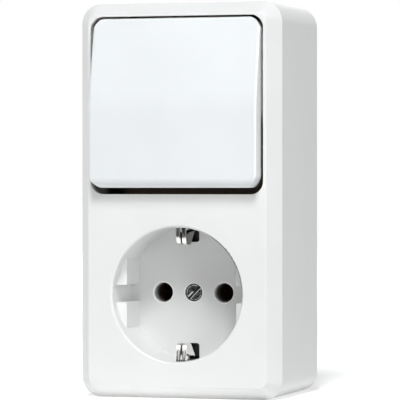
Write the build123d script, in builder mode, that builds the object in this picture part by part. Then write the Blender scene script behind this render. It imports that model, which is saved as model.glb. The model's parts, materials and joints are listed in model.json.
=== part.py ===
from build123d import *
import os
from math import cos, radians, sin, tan

# Surface-mounted combination of a rocker switch above an earthed socket.
# X runs to the viewer's right, Y runs into the wall and Z runs up, in millimetres.
# The origin is the centre of the face that lies on the wall. A "distance" below is
# measured from the wall towards the viewer, so it grows along minus Y.

os.makedirs("parts", exist_ok=True)

# Cover
width = 62.0
height = 117.2
depth = 45.5
corner_radius = 6.0
wall = 2.2
bevel_inset = 3.6
bevel_depth = 5.2
edge_round = 0.5
plate_fit = 0.3
fit_gap = 0.2
rib_thickness = 1.2
rib_depth = 8.5
rib_offset = 8.0
knockout_width = 18.0
knockout_height = 14.0
knockout_skin = 0.8

# Rocker and its opening
opening_width = 53.2
opening_height = 52.6
opening_radius = 3.8
switch_z = 28.2
rocker_gap = 0.85
rocker_height = 50.6
rocker_radius = 4.5
rocker_wall = 1.8
ridge_height = 10.7
ridge_round = 34.0
rocker_end_round = 2.9
rocker_top_round = 1.0
rocker_side_round = 0.8
rocker_skirt = 3.0
rocker_draft = 1.1
rocker_core_radius = 2.7
pivot_depth = 6.0
rest_angle = 5.75
clip_width = 10.0
clip_thickness = 1.6
clip_nib = 1.1

# Rocker carrier and snap mechanism, measured from the pivot
trunnion_radius = 2.0
running_gap = 0.06
hub_radius = 3.6
cheek_inner = 8.7
cheek_thickness = 2.5
cheek_width = 12.0
cheek_rise = 4.0
cheek_taper = 1.5
platform_width = 16.0
platform_height = 33.0
platform_start = 4.5
platform_thickness = 2.0
platform_radius = 1.5
platform_rib = 1.2
platform_rib_depth = 1.5
barrel_radius = 3.4
barrel_length = 9.0
bore_radius = 2.35
bore_end = 4.0
plunger_gap = 0.1
plunger_start = 3.5
tip_length = 11.62
tip_gap = 0.1
plunger_bore = 1.75
plunger_floor = 8.0
spring_wire = 0.2
spring_wire_sides = 6
spring_mean = 1.4
spring_turns = 5
spring_gap = 0.05

# Contact lever and fixed contacts of the switch
lever_swing = 8.0
lever_thickness = 0.8
lever_width = 5.0
lever_length = 21.2
knife_gap = 0.08
button_offset = 9.0
button_radius = 1.5
lever_button = 0.9
rivet_radius = 0.75
contact_gap = 0.14
fixed_button = 1.1
strip = 0.8
strip_width = 5.0
post_height = 6.1

# Switch base
base_size = 42.0
base_corner_cut = 3.0
base_rear = 9.0
flange_gap = 0.6
flange_height = 54.4
flange_drop = 12.5
flange_thickness = 1.8
flange_corner_cut = 8.5
well_width = 12.4
well_height = 24.8
channel_width = 6.4
channel_end = 19.5
switch_screw_x = 16.5
switch_screw_z = 16.5
screw_floor = 5.0
terminal_inset = 4.0
terminal_screw_length = 7.0
terminal_screw_room = 0.6
wire_radius = 1.4
contact_inner = 3.0

# Socket cup, after the usual two-pole sizes with side earth
socket_z = -27.7
cup_radius = 19.9
cup_wall = 1.9
cup_depth = 17.5
floor_thickness = 2.4
lip_round = 0.8
pin_pitch = 19.0
pin_hole_radius = 2.9
pin_hole_rim = 0.3
pin_collar_wall = 0.8
pin_collar_height = 2.6
key_flat = 16.95
key_front_outer = 3.4
key_front_inner = 4.9
key_notch = 5.2
screw_recess = 0.5
screw_boss_radius = 4.4
screw_boss_height = 1.8

# Earth bracket and its two clips
clip_half = 1.55
earth_slot_half = 1.8
earth_slot_inner = 15.15
earth_slot_radius = 0.8
groove_radius = 20.9
groove_front = 3.3
sheet = 0.6
clip_wall_radius = 20.55
clip_front_depth = 4.7
clip_fold = 0.7
clip_nose_radius = 14.6
clip_nose_front = 5.6
clip_nose_rear = 9.3
clip_nose_round = 1.5
clip_end_depth = 13.3
clip_end_radius = 18.5
finger_slit = 0.55
slit_rear_depth = 10.0
clip_wing = 0.45
wing_top_front = 17.4
wing_top_rear = 18.4
wing_lift = 0.2
earth_strip_width = 8.0
strip_drop = 3.9
earth_screw_offset = 12.0
collar_depth = 2.0

# Socket block
block_width = 33.0
block_height = 37.0
block_radius = 4.0
block_rear = 6.0
pocket_radius = 3.9
pocket_rear = 8.0
ear_x = 12.0
ear_z = 22.0
ear_radius = 4.4
ear_thickness = 3.0
sleeve_inner = 2.2
sleeve_wall = 0.6
sleeve_mouth = 0.55
sleeve_slit = 0.9
sleeve_inset = 0.2
tail_width = 5.0
terminal_gap = 0.5
tab_inset = 3.3
tab_width = 8.0
tab_screw_length = 5.0

# Base plate
plate_thickness = 2.5
rim_thickness = 1.5
rim_height = 6.0
wall_hole_radius = 2.2
wall_hole_x = 23.0
wall_hole_z = 49.5
cable_radius = 7.0
cable_z = 46.5
post_radius = 4.0
pad_z = 13.0
pilot_depth = 1.5

# Screws
m3 = 1.5
m3_head = 3.0
m3_head_height = 1.9
thread_gap = 0.05
cover_head = 2.5
cover_head_height = 1.8
cover_screw_length = 11.0
cover_slot_turn = 45
fixing_screw_reach = 2.0
slot_width = 1.0
slot_depth = 0.9
head_chamfer = 0.25
clamp_thickness = 0.8
clamp_size = 5.0

# Sizes that follow from the ones above
pivot = depth - pivot_depth
rocker_width = opening_width - 2 * rocker_gap
floor_front = depth - cup_depth
floor_rear = floor_front - floor_thickness
inner_width = width - 2 * wall
inner_height = height - 2 * wall
inner_radius = corner_radius - wall
plate_width = inner_width - 2 * plate_fit
plate_height = inner_height - 2 * plate_fit
plate_radius = inner_radius - plate_fit
block_front = floor_rear - plate_fit
earth_strip_seat = block_front - strip_drop
cover_head_seat = floor_front - screw_recess - cover_head_height
knife_edge = pivot - tip_length - tip_gap - lever_thickness - knife_gap
post_floor = knife_edge - post_height
lever_button_low = lever_button - knife_gap + button_offset * sin(radians(lever_swing))
button_tilt = button_radius * sin(radians(lever_swing))
fixed_button_top = knife_edge - lever_button_low - button_tilt - contact_gap
fixed_seat = fixed_button_top - fixed_button
traveller_floor = fixed_seat - strip
flange_width = inner_width - 2 * flange_gap
flange_rear = pivot - flange_drop
flange_front = flange_rear + flange_thickness
screw_seat = base_rear + screw_floor
terminal_offset = channel_end - terminal_inset
terminal_x = block_width / 2 + terminal_gap
terminal_rise = block_front - tab_inset - pocket_rear
terminal_level = pocket_rear + terminal_rise / 2


def from_wall(distance):
    """Plane parallel to the wall, looking at the viewer, at a distance from the wall."""
    return Plane.XZ.offset(distance)


def tilted(distance, level, degrees):
    """Plane at a distance from the wall and a height, turned about the X direction."""
    turn = radians(degrees)
    return Plane(origin=(0, -distance, level), x_dir=(1, 0, 0), z_dir=(0, -cos(turn), -sin(turn)))


def seats(places, distance):
    """Planes that face the viewer at (x, z) places, at a distance from the wall."""
    return [Plane(origin=(x, -distance, z), x_dir=(1, 0, 0), z_dir=(0, -1, 0)) for x, z in places]


def slotted_screws(planes, head, head_height, shank, length, slot_turn=0):
    """Slotted cheese-head screws whose heads stand on the planes and point away from them."""
    with BuildPart() as screws:
        with BuildSketch(*planes):
            Circle(head)
        extrude(amount=head_height)
        rims = screws.edges().filter_by(
            lambda e: any(abs(p.to_local_coords(e.center()).Z - head_height) < 0.01 for p in planes)
        )
        chamfer(rims.filter_by(GeomType.CIRCLE), head_chamfer)
        with BuildSketch(*planes):
            Circle(shank)
        extrude(amount=-length)
        with BuildSketch(*[plane.offset(head_height) for plane in planes]):
            Rectangle(3 * head, slot_width, rotation=slot_turn)
        extrude(amount=-slot_depth, mode=Mode.SUBTRACT)
    return screws.part


def clamp_plates(planes):
    """Square wire clamps that lie on the planes, each with a clearance hole for its screw."""
    with BuildPart() as clamps:
        with BuildSketch(*planes):
            Rectangle(clamp_size, clamp_size)
            Circle(m3 + thread_gap, mode=Mode.SUBTRACT)
        extrude(amount=clamp_thickness)
    return clamps.part


# Cover: one moulding with the rocker opening and the socket cup
with BuildPart() as side_keys:
    with BuildSketch(Plane.XY.offset(socket_z)):
        for side in (-1, 1):
            with BuildLine():
                Polyline(
                    (side * key_flat, -floor_rear),
                    (side * key_flat, key_front_inner - depth),
                    (side * (cup_radius + 0.5), key_front_outer - depth),
                    (side * (cup_radius + 0.5), -floor_rear),
                    close=True,
                )
            make_face()
    extrude(amount=cup_radius, both=True)
    with BuildSketch(from_wall(floor_rear)):
        with Locations((0, socket_z)):
            Circle(cup_radius + 0.5)
    extrude(amount=depth, mode=Mode.INTERSECT)
    with BuildSketch(from_wall(floor_rear)):
        with Locations((0, socket_z)):
            Rectangle(2 * width, key_notch)
    extrude(amount=depth, mode=Mode.SUBTRACT)

# Stiffening ribs beside and below the cup and under the opening, ending inside the walls
with BuildPart() as cover_ribs:
    with BuildSketch(Plane.XZ):
        RectangleRounded(width - wall, height - wall, corner_radius - wall / 2)
    extrude(amount=depth - wall / 2)
    front = faces().sort_by(Axis.Y)[0]
    chamfer(front.edges(), length=bevel_inset, length2=bevel_depth, reference=front)
    with BuildSketch(from_wall(depth)):
        with Locations((0, socket_z), (0, switch_z - opening_height / 2 - rib_thickness)):
            Rectangle(width, rib_thickness)
        with Locations((-rib_offset, socket_z - height / 2), (rib_offset, socket_z - height / 2)):
            Rectangle(rib_thickness, height)
    extrude(amount=-rib_depth, mode=Mode.INTERSECT)

with BuildPart() as housing_cover:
    with BuildSketch(Plane.XZ):
        RectangleRounded(width, height, corner_radius)
    extrude(amount=depth)
    front = faces().sort_by(Axis.Y)[0]
    chamfer(front.edges(), length=bevel_inset, length2=bevel_depth, reference=front)
    rear = faces().sort_by(Axis.Y)[-1]
    offset(amount=-wall, openings=rear)
    bevel_edges = edges().filter_by(lambda e: abs(e.center().Y + depth) < 0.01)
    bevel_edges += edges().filter_by(
        lambda e: abs(e.bounding_box().min.Y + depth - bevel_depth) < 0.01
        and abs(e.bounding_box().max.Y + depth - bevel_depth) < 0.01
    )
    fillet(bevel_edges, edge_round)
    # Knock-outs for cables or conduit: the end walls are thin there from the inside
    with BuildSketch(Plane.XZ):
        Rectangle(knockout_width, height - 2 * knockout_skin)
        Rectangle(knockout_width, inner_height, mode=Mode.SUBTRACT)
    extrude(amount=knockout_height, mode=Mode.SUBTRACT)
    # Cup, its floor, the boss round the screw and a collar behind each pin hole
    with BuildSketch(from_wall(floor_rear)):
        with Locations((0, socket_z)):
            Circle(cup_radius + cup_wall)
    extrude(amount=depth - floor_rear - bevel_depth / 2)
    with BuildSketch(from_wall(floor_rear)):
        with Locations((0, socket_z)):
            Circle(screw_boss_radius)
    extrude(amount=-screw_boss_height)
    with BuildSketch(from_wall(floor_rear)):
        with Locations((-pin_pitch / 2, socket_z), (pin_pitch / 2, socket_z)):
            Circle(pin_hole_radius + pin_collar_wall)
    extrude(amount=-pin_collar_height)
    add(cover_ribs.part)
    with BuildSketch(from_wall(floor_front)):
        with Locations((0, socket_z)):
            Circle(cup_radius)
    extrude(amount=cup_depth, mode=Mode.SUBTRACT)
    mouth = edges().filter_by(GeomType.CIRCLE).filter_by(
        lambda e: abs(e.radius - cup_radius) < 0.01 and abs(e.center().Y + depth) < 0.01
    )
    fillet(mouth, lip_round)
    add(side_keys.part)
    # Pin holes and the recessed screw hole
    with BuildSketch(from_wall(floor_front)):
        with Locations((-pin_pitch / 2, socket_z), (pin_pitch / 2, socket_z)):
            Circle(pin_hole_radius)
    extrude(amount=-2 * floor_thickness - pin_collar_height, mode=Mode.SUBTRACT)
    with BuildSketch(from_wall(floor_front)):
        with Locations((0, socket_z)):
            Circle(cover_head + fit_gap / 2)
    extrude(amount=cover_head_seat - floor_front, mode=Mode.SUBTRACT)
    with BuildSketch(from_wall(floor_front)):
        with Locations((0, socket_z)):
            Circle(m3 + fit_gap)
    extrude(amount=-2 * floor_thickness, mode=Mode.SUBTRACT)
    rims = edges().filter_by(GeomType.CIRCLE).filter_by(
        lambda e: e.radius < pin_hole_radius + 0.01 and abs(e.center().Y + floor_front) < 0.01
    )
    chamfer(rims, pin_hole_rim)
    # Slots in the floor and grooves in the cup wall for the earth clips
    slot_centre = (earth_slot_inner + groove_radius) / 2
    with BuildSketch(from_wall(floor_front)):
        with Locations((0, socket_z + slot_centre), (0, socket_z - slot_centre)):
            RectangleRounded(2 * earth_slot_half, groove_radius - earth_slot_inner, earth_slot_radius)
    extrude(amount=-2 * floor_thickness, mode=Mode.SUBTRACT)
    groove_middle = (cup_radius - 1 + groove_radius) / 2
    with BuildSketch(from_wall(floor_rear)):
        with Locations((0, socket_z + groove_middle), (0, socket_z - groove_middle)):
            Rectangle(2 * earth_slot_half, groove_radius - cup_radius + 1)
    extrude(amount=depth - groove_front - floor_rear, mode=Mode.SUBTRACT)
    # Opening for the rocker
    with BuildSketch(from_wall(depth)):
        with Locations((0, switch_z)):
            RectangleRounded(opening_width, opening_height, opening_radius)
    extrude(amount=-2 * wall, mode=Mode.SUBTRACT)
housing_cover.part.label = "housing_cover"
export_step(housing_cover.part, "parts/housing_cover.step")

# Rocker: a hollow cap with two sloping halves, lying with its top pressed in
rocker_plane = tilted(pivot, switch_z, -rest_angle)
rocker_side = Plane(origin=rocker_plane.origin, x_dir=rocker_plane.y_dir, z_dir=(1, 0, 0))
half_height = rocker_height / 2
slope = tan(radians(rest_angle))
end_height = ridge_height - half_height * slope
core_half = half_height - rocker_wall
core_ridge = ridge_height - rocker_wall
core_end = core_ridge - core_half * slope

with BuildPart() as rocker_core:
    with BuildSketch(rocker_plane.offset(-rocker_skirt - 1)):
        RectangleRounded(
            rocker_width - 2 * rocker_wall, rocker_height - 2 * rocker_wall, rocker_core_radius
        )
    extrude(amount=ridge_height + rocker_skirt)
    with BuildSketch(rocker_side):
        with BuildLine():
            Polyline(
                (-core_half + rocker_draft, -rocker_skirt - 1),
                (-core_half + rocker_draft, -rocker_skirt),
                (-core_half, core_end),
                (0, core_ridge),
                (core_half, core_end),
                (core_half - rocker_draft, -rocker_skirt),
                (core_half - rocker_draft, -rocker_skirt - 1),
                close=True,
            )
        make_face()
    extrude(amount=rocker_width, both=True, mode=Mode.INTERSECT)

with BuildPart() as rocker:
    with BuildSketch(rocker_side) as rocker_profile:
        with BuildLine():
            Polyline(
                (rocker_draft - half_height, -rocker_skirt),
                (-half_height, end_height),
                (0, ridge_height),
                (half_height, end_height),
                (half_height - rocker_draft, -rocker_skirt),
                close=True,
            )
        make_face()
        fillet(rocker_profile.vertices().sort_by(Axis.Y)[-1], ridge_round)
        for end, end_round in ((-half_height, rocker_end_round), (half_height, rocker_top_round)):
            corner = rocker_profile.vertices().filter_by(lambda v: abs(v.X - end) < 0.01 and v.Y > 0)
            fillet(corner, end_round)
    extrude(amount=rocker_width / 2, both=True)
    flanks = rocker.faces().sort_by(Axis.X)
    side_edges = (flanks[0].edges() + flanks[-1].edges()).filter_by(
        lambda e: rocker_plane.to_local_coords(e).center().Z > -rocker_skirt + 0.1
    )
    fillet(side_edges, rocker_side_round)
    with BuildSketch(rocker_plane.offset(-rocker_skirt)):
        RectangleRounded(rocker_width, rocker_height, rocker_radius)
    extrude(amount=ridge_height + rocker_skirt + 1, mode=Mode.INTERSECT)
    add(rocker_core.part, mode=Mode.SUBTRACT)
    # Two spring legs that snap under the ends of the carrier's platform
    clip_foot = platform_start - fit_gap - clip_nib
    for end in (-1, 1):
        with BuildSketch(rocker_plane.offset(clip_foot)):
            with Locations((0, end * (platform_height / 2 + fit_gap + clip_thickness / 2))):
                Rectangle(clip_width, clip_thickness)
        extrude(amount=core_ridge - platform_height / 2 * slope + rocker_wall / 2 - clip_foot)
        with BuildSketch(rocker_plane.offset(clip_foot)):
            with Locations((0, end * (platform_height / 2 + fit_gap - clip_nib / 2))):
                Rectangle(clip_width, clip_nib)
        extrude(amount=clip_nib)
rocker.part.label = "rocker"
export_step(rocker.part, "parts/rocker.step")

# Rocker carrier: platform, hub with two trunnions, and the barrel of the snap spring
with BuildPart() as rocker_carrier:
    with BuildSketch(rocker_plane.offset(platform_start)):
        RectangleRounded(platform_width, platform_height, platform_radius)
    extrude(amount=platform_thickness)
    with BuildSketch(rocker_plane):
        Rectangle(2 * hub_radius, 2 * hub_radius)
    extrude(amount=platform_start)
    with BuildSketch(rocker_plane.offset(platform_start)):
        for side in (-1, 1):
            with Locations((side * (hub_radius - platform_rib / 2), 0)):
                Rectangle(platform_rib, platform_height - 4 * clip_nib)
    extrude(amount=-platform_rib_depth)
    with BuildSketch(Plane.YZ):
        with Locations((-pivot, switch_z)):
            Circle(hub_radius)
    extrude(amount=cheek_inner - fit_gap, both=True)
    with BuildSketch(Plane.YZ):
        with Locations((-pivot, switch_z)):
            Circle(trunnion_radius)
    extrude(amount=cheek_inner + cheek_thickness, both=True)
    with BuildSketch(rocker_plane):
        Circle(barrel_radius)
    extrude(amount=-barrel_length)
    with BuildSketch(rocker_plane.offset(bore_end)):
        Circle(bore_radius)
    extrude(amount=-bore_end - barrel_length, mode=Mode.SUBTRACT)
rocker_carrier.part.label = "rocker_carrier"
export_step(rocker_carrier.part, "parts/rocker_carrier.step")

# Plunger: a hollow pin with a round tip that slides in the barrel
plunger_radius = bore_radius - plunger_gap
with BuildPart() as plunger:
    with BuildSketch(rocker_plane.offset(-plunger_start)):
        Circle(plunger_radius)
    extrude(amount=plunger_start + plunger_radius - tip_length)
    with Locations(rocker_plane.offset(plunger_radius - tip_length)):
        Sphere(plunger_radius)
    with BuildSketch(rocker_plane.offset(-plunger_start)):
        Circle(plunger_bore)
    extrude(amount=plunger_start - plunger_floor, mode=Mode.SUBTRACT)
plunger.part.label = "plunger"
export_step(plunger.part, "parts/plunger.step")

# Coil spring between the end of the bore and the plunger's floor
spring_start = spring_wire + spring_gap - plunger_floor
spring_length = bore_end - spring_start - spring_wire - spring_gap
with BuildPart() as plunger_spring:
    spring_foot = rocker_plane.offset(spring_start)
    with BuildLine():
        coil = Helix(
            spring_length / spring_turns, spring_length, spring_mean,
            center=spring_foot.origin, direction=spring_foot.z_dir,
        )
    with BuildSketch(Plane(origin=coil @ 0, z_dir=coil % 0)):
        RegularPolygon(spring_wire, spring_wire_sides)
    sweep(is_frenet=True)
plunger_spring.part.label = "plunger_spring"
export_step(plunger_spring.part, "parts/plunger_spring.step")

# Contact lever: a strip that see-saws on the knife edge, with a contact button at each end
lever_plane = tilted(knife_edge, switch_z, lever_swing)
with BuildPart() as contact_lever:
    with BuildSketch(lever_plane.offset(knife_gap)):
        SlotOverall(lever_length, lever_width, rotation=90)
        with Locations((0, button_offset), (0, -button_offset)):
            Circle(rivet_radius, mode=Mode.SUBTRACT)
    extrude(amount=lever_thickness)
contact_lever.part.label = "contact_lever"
export_step(contact_lever.part, "parts/contact_lever.step")

with BuildPart() as lever_buttons:
    with BuildSketch(lever_plane.offset(knife_gap)):
        with Locations((0, button_offset), (0, -button_offset)):
            Circle(button_radius)
    extrude(amount=-lever_button)
    with BuildSketch(lever_plane.offset(knife_gap)):
        with Locations((0, button_offset), (0, -button_offset)):
            Circle(rivet_radius)
    extrude(amount=lever_thickness)
lever_buttons.part.label = "lever_buttons"
export_step(lever_buttons.part, "parts/lever_buttons.step")

# Places of the switch's buttons, terminals and fixing screws, as (x, z)
button_levels = (switch_z + button_offset, switch_z - button_offset)
common_terminal = [(-terminal_offset, switch_z)]
traveller_terminals = [(terminal_offset, level) for level in button_levels]
switch_screws = [
    (-switch_screw_x, switch_z + switch_screw_z),
    (switch_screw_x, switch_z - switch_screw_z),
]

# Switch base: moulded body with a flange under the opening and two bearing cheeks
with BuildPart() as switch_base:
    with BuildSketch(from_wall(base_rear)) as body_outline:
        with Locations((0, switch_z)):
            Rectangle(base_size, base_size)
        chamfer(body_outline.vertices(), base_corner_cut)
    extrude(amount=flange_rear - base_rear)
    with BuildSketch(from_wall(flange_rear)) as flange_outline:
        with Locations((0, switch_z)):
            Rectangle(flange_width, flange_height)
        chamfer(flange_outline.vertices(), flange_corner_cut)
    extrude(amount=flange_thickness)
    # Cheeks with the bearing holes for the trunnions
    for side in (-1, 1):
        with BuildSketch(Plane.YZ.offset(side * (cheek_inner + cheek_thickness / 2))):
            with BuildLine():
                Polyline(
                    (-flange_rear, switch_z - cheek_width / 2),
                    (-pivot, switch_z - cheek_width / 2 + cheek_taper),
                    (-pivot - cheek_rise, switch_z - cheek_width / 2 + 2 * cheek_taper),
                    (-pivot - cheek_rise, switch_z + cheek_width / 2 - 2 * cheek_taper),
                    (-pivot, switch_z + cheek_width / 2 - cheek_taper),
                    (-flange_rear, switch_z + cheek_width / 2),
                    close=True,
                )
            make_face()
            with Locations((-pivot, switch_z)):
                Circle(trunnion_radius + running_gap, mode=Mode.SUBTRACT)
        extrude(amount=cheek_thickness / 2, both=True)
    # Well for the lever, deeper in the middle, and the channels for the contact strips
    channel_length = channel_end + well_width / 2
    channel_centre = (channel_end - well_width / 2) / 2
    with BuildSketch(from_wall(flange_front)):
        with Locations((0, switch_z)):
            Rectangle(well_width, well_height)
        with Locations(*[(channel_centre, level) for level in button_levels]):
            Rectangle(channel_length, channel_width)
    extrude(amount=traveller_floor - flange_front, mode=Mode.SUBTRACT)
    with BuildSketch(from_wall(flange_front)):
        with Locations((-channel_centre, switch_z)):
            Rectangle(channel_length, channel_width)
    extrude(amount=post_floor - strip - flange_front, mode=Mode.SUBTRACT)
    # Counterbored holes for the fixing screws, holes for the terminal screws and wire entries
    with BuildSketch(from_wall(flange_front)):
        with Locations(*switch_screws):
            Circle(m3_head + fit_gap)
    extrude(amount=screw_seat - flange_front, mode=Mode.SUBTRACT)
    with BuildSketch(from_wall(flange_front)):
        with Locations(*switch_screws):
            Circle(m3 + fit_gap)
    extrude(amount=-flange_front, mode=Mode.SUBTRACT)
    screw_hole = terminal_screw_length + terminal_screw_room - clamp_thickness
    with BuildSketch(from_wall(post_floor)):
        with Locations(*common_terminal):
            Circle(m3 + fit_gap)
    extrude(amount=-screw_hole, mode=Mode.SUBTRACT)
    with BuildSketch(from_wall(fixed_seat)):
        with Locations(*traveller_terminals):
            Circle(m3 + fit_gap)
    extrude(amount=-screw_hole, mode=Mode.SUBTRACT)
    with BuildSketch(Plane.YZ.offset(-base_size)):
        with Locations((-post_floor - wire_radius, switch_z)):
            Circle(wire_radius)
    extrude(amount=base_size - terminal_offset, mode=Mode.SUBTRACT)
    with BuildSketch(Plane.YZ.offset(base_size)):
        with Locations(*[(-fixed_seat - wire_radius, level) for level in button_levels]):
            Circle(wire_radius)
    extrude(amount=terminal_offset - base_size, mode=Mode.SUBTRACT)
switch_base.part.label = "switch_base"
export_step(switch_base.part, "parts/switch_base.step")

# Common contact: flat strip with a folded post whose knife edge carries the lever
with BuildPart() as common_contact:
    strip_reach = channel_end - fit_gap
    with BuildSketch(from_wall(post_floor - strip)):
        with Locations(((strip_width / 2 - strip_reach) / 2, switch_z)):
            Rectangle(strip_reach + strip_width / 2, strip_width)
        with Locations(*common_terminal):
            Circle(m3 + thread_gap, mode=Mode.SUBTRACT)
    extrude(amount=strip)
    with BuildSketch(Plane.YZ):
        with BuildLine():
            Polyline(
                (-post_floor + strip / 2, switch_z - strip / 2),
                (-knife_edge + strip, switch_z - strip / 2),
                (-knife_edge, switch_z),
                (-knife_edge + strip, switch_z + strip / 2),
                (-post_floor + strip / 2, switch_z + strip / 2),
                close=True,
            )
        make_face()
    extrude(amount=strip_width / 2, both=True)
common_contact.part.label = "common_contact"
export_step(common_contact.part, "parts/common_contact.step")

# The two fixed contacts and their riveted buttons
for level, name in zip(button_levels, ("upper_contact", "lower_contact")):
    with BuildPart() as fixed_contact:
        with BuildSketch(from_wall(traveller_floor)):
            with Locations(((strip_reach - contact_inner) / 2, level)):
                Rectangle(strip_reach + contact_inner, strip_width)
            with Locations((terminal_offset, level)):
                Circle(m3 + thread_gap, mode=Mode.SUBTRACT)
            with Locations((0, level)):
                Circle(rivet_radius, mode=Mode.SUBTRACT)
        extrude(amount=strip)
    fixed_contact.part.label = name
    export_step(fixed_contact.part, f"parts/{name}.step")

with BuildPart() as fixed_buttons:
    with BuildSketch(from_wall(fixed_seat)):
        with Locations(*[(0, level) for level in button_levels]):
            Circle(button_radius)
    extrude(amount=fixed_button)
    with BuildSketch(from_wall(fixed_seat)):
        with Locations(*[(0, level) for level in button_levels]):
            Circle(rivet_radius)
    extrude(amount=-strip)
fixed_buttons.part.label = "fixed_buttons"
export_step(fixed_buttons.part, "parts/fixed_buttons.step")

# Wire clamps and screws of the switch
common_seats = seats(common_terminal, post_floor)
traveller_seats = seats(traveller_terminals, fixed_seat)
terminal_seats = common_seats + traveller_seats
switch_clamps = clamp_plates(terminal_seats)
switch_clamps.label = "switch_clamps"
export_step(switch_clamps, "parts/switch_clamps.step")

switch_terminal_screws = slotted_screws(
    [plane.offset(clamp_thickness) for plane in terminal_seats],
    m3_head, m3_head_height, m3, terminal_screw_length,
)
switch_terminal_screws.label = "switch_terminal_screws"
export_step(switch_terminal_screws, "parts/switch_terminal_screws.step")

switch_fixing_screws = slotted_screws(
    seats(switch_screws, screw_seat), m3_head, m3_head_height, m3, screw_seat - fixing_screw_reach
)
switch_fixing_screws.label = "switch_fixing_screws"
export_step(switch_fixing_screws, "parts/switch_fixing_screws.step")

# Socket block: carries the two pin contacts and the earth bracket behind the cup's floor
socket_screws = [(ear_x, socket_z + ear_z), (-ear_x, socket_z - ear_z)]
tail_channel = tail_width + 2 * fit_gap
with BuildPart() as socket_block:
    with BuildSketch(from_wall(block_rear)):
        with Locations((0, socket_z)):
            RectangleRounded(block_width, block_height, block_radius)
    extrude(amount=block_front - block_rear)
    with BuildSketch(from_wall(block_rear)):
        with Locations(*socket_screws):
            Circle(ear_radius)
        with Locations((ear_x, socket_z + ear_z / 2), (-ear_x, socket_z - ear_z / 2)):
            Rectangle(2 * ear_radius, ear_z)
    extrude(amount=ear_thickness)
    # Pockets and side channels for the pin contacts
    with BuildSketch(from_wall(block_front)):
        for side in (-1, 1):
            with Locations((side * pin_pitch / 2, socket_z)):
                Circle(pocket_radius)
            with Locations((side * (pin_pitch / 2 + block_width / 4), socket_z)):
                Rectangle(block_width / 2, tail_channel)
    extrude(amount=pocket_rear - block_front, mode=Mode.SUBTRACT)
    # Groove for the earth bracket, recess for the boss and holes for the screws
    with BuildSketch(from_wall(block_front)):
        with Locations((0, socket_z)):
            Rectangle(earth_strip_width + 2 * fit_gap, 2 * block_height)
    extrude(amount=earth_strip_seat - block_front, mode=Mode.SUBTRACT)
    with BuildSketch(from_wall(block_front)):
        with Locations((0, socket_z)):
            Circle(screw_boss_radius + plate_fit)
    extrude(amount=floor_rear - screw_boss_height - plate_fit - block_front, mode=Mode.SUBTRACT)
    with BuildSketch(from_wall(earth_strip_seat)):
        with Locations((0, socket_z)):
            Circle(m3 + sheet + fit_gap)
        with Locations((0, socket_z - earth_screw_offset)):
            Circle(m3 + fit_gap)
    extrude(amount=cover_head_seat - cover_screw_length - 1 - earth_strip_seat, mode=Mode.SUBTRACT)
    with BuildSketch(from_wall(block_rear + ear_thickness)):
        with Locations(*socket_screws):
            Circle(m3 + fit_gap)
    extrude(amount=-ear_thickness, mode=Mode.SUBTRACT)
socket_block.part.label = "socket_block"
export_step(socket_block.part, "parts/socket_block.step")

# Pin contacts: split sleeves with a flared mouth, each on a tail that ends in a terminal tab
contact_rear = pocket_rear + strip
sleeve_front = floor_rear - pin_collar_height - sleeve_inset
sleeve_outer = sleeve_inner + sleeve_wall
for side, name in ((-1, "line_contact"), (1, "neutral_contact")):
    with BuildPart() as pin_contact:
        sleeve_axis = Plane(origin=(side * pin_pitch / 2, 0, socket_z), x_dir=(1, 0, 0), z_dir=(0, 0, 1))
        with BuildSketch(sleeve_axis):
            with BuildLine():
                Polyline(
                    (sleeve_inner, -contact_rear),
                    (sleeve_inner, -sleeve_front + 2 * sleeve_mouth),
                    (sleeve_inner + sleeve_mouth, -sleeve_front),
                    (sleeve_outer + sleeve_mouth, -sleeve_front),
                    (sleeve_outer, -sleeve_front + 2 * sleeve_mouth),
                    (sleeve_outer, -contact_rear),
                    close=True,
                )
            make_face()
        revolve(axis=Axis(origin=(side * pin_pitch / 2, 0, socket_z), direction=(0, 1, 0)))
        with BuildSketch(from_wall(sleeve_front)):
            with Locations((side * pin_pitch / 2, socket_z)):
                Rectangle(sleeve_slit, 4 * sleeve_outer)
        extrude(amount=contact_rear + sleeve_inner - sleeve_front, mode=Mode.SUBTRACT)
        with BuildSketch(from_wall(pocket_rear)):
            with Locations((side * pin_pitch / 2, socket_z)):
                Circle(sleeve_outer)
            with Locations((side * (pin_pitch / 2 + terminal_x + strip) / 2, socket_z)):
                Rectangle(terminal_x + strip - pin_pitch / 2, tail_width)
        extrude(amount=strip)
        with BuildSketch(Plane.YZ.offset(side * terminal_x)):
            with Locations((-pocket_rear - terminal_rise / 2, socket_z)):
                Rectangle(terminal_rise, tab_width)
            with Locations((-terminal_level, socket_z)):
                Circle(m3 + thread_gap, mode=Mode.SUBTRACT)
        extrude(amount=side * strip)
    pin_contact.part.label = name
    export_step(pin_contact.part, f"parts/{name}.step")

tab_face = terminal_x + strip
tab_seats = [
    Plane(origin=(side * tab_face, -terminal_level, socket_z), x_dir=(0, 0, 1), z_dir=(side, 0, 0))
    for side in (-1, 1)
]
socket_clamps = clamp_plates(tab_seats)
socket_clamps.label = "socket_clamps"
export_step(socket_clamps, "parts/socket_clamps.step")

socket_terminal_screws = slotted_screws(
    [plane.offset(clamp_thickness) for plane in tab_seats], m3_head, m3_head_height, m3, tab_screw_length
)
socket_terminal_screws.label = "socket_terminal_screws"
export_step(socket_terminal_screws, "parts/socket_terminal_screws.step")

socket_fixing_seat = block_rear + ear_thickness
socket_fixing_screws = slotted_screws(
    seats(socket_screws, socket_fixing_seat),
    m3_head, m3_head_height, m3, socket_fixing_seat - fixing_screw_reach,
)
socket_fixing_screws.label = "socket_fixing_screws"
export_step(socket_fixing_screws, "parts/socket_fixing_screws.step")

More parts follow.
